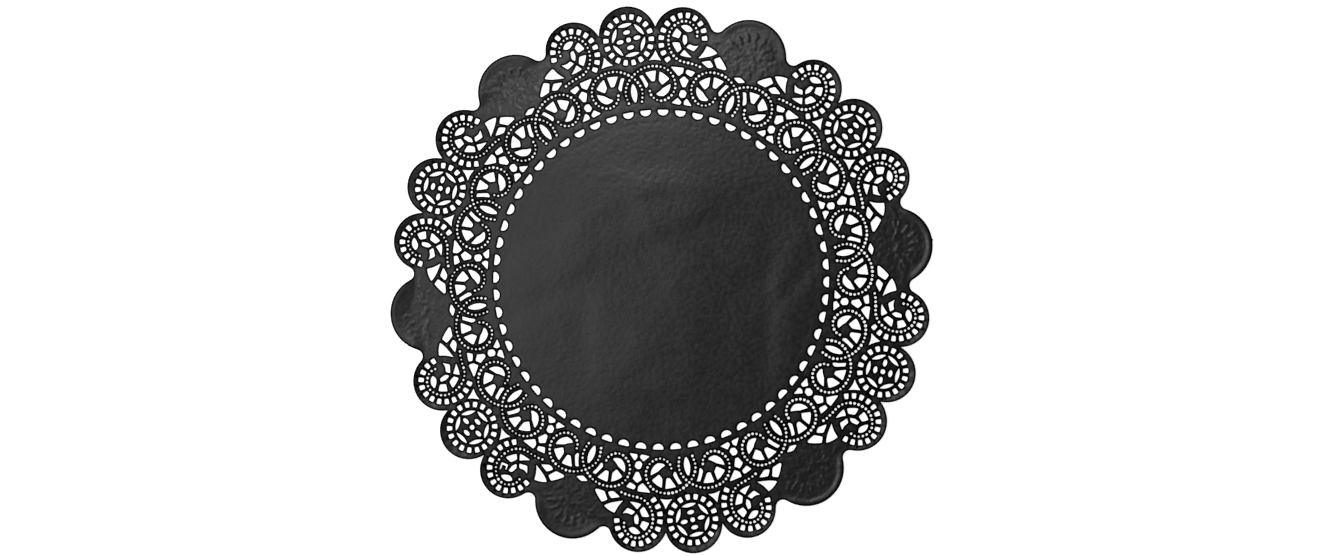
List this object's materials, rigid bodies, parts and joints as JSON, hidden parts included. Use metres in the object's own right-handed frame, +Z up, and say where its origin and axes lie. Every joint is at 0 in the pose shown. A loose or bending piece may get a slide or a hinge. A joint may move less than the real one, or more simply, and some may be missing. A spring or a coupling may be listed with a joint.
{
  "type": "lace paper doily",
  "caption": "Round flat doily of black embossed paper, with a plain middle, a pierced lace border of scrolls and round flowers, and a scalloped edge; it lies under a cake or plate.",
  "frame": {"origin": "middle of the doily, on the surface it lies on", "axes": "+Z up out of the face, +Y along the axis of a plain scallop, +X to the right"},
  "size_m": [0.3042, 0.3052, 0.001],
  "materials": {
    "black_paper": "matt embossed paper"
  },
  "bodies": {
    "root": {"doily": "black_paper"}
  },
  "joints": []
}
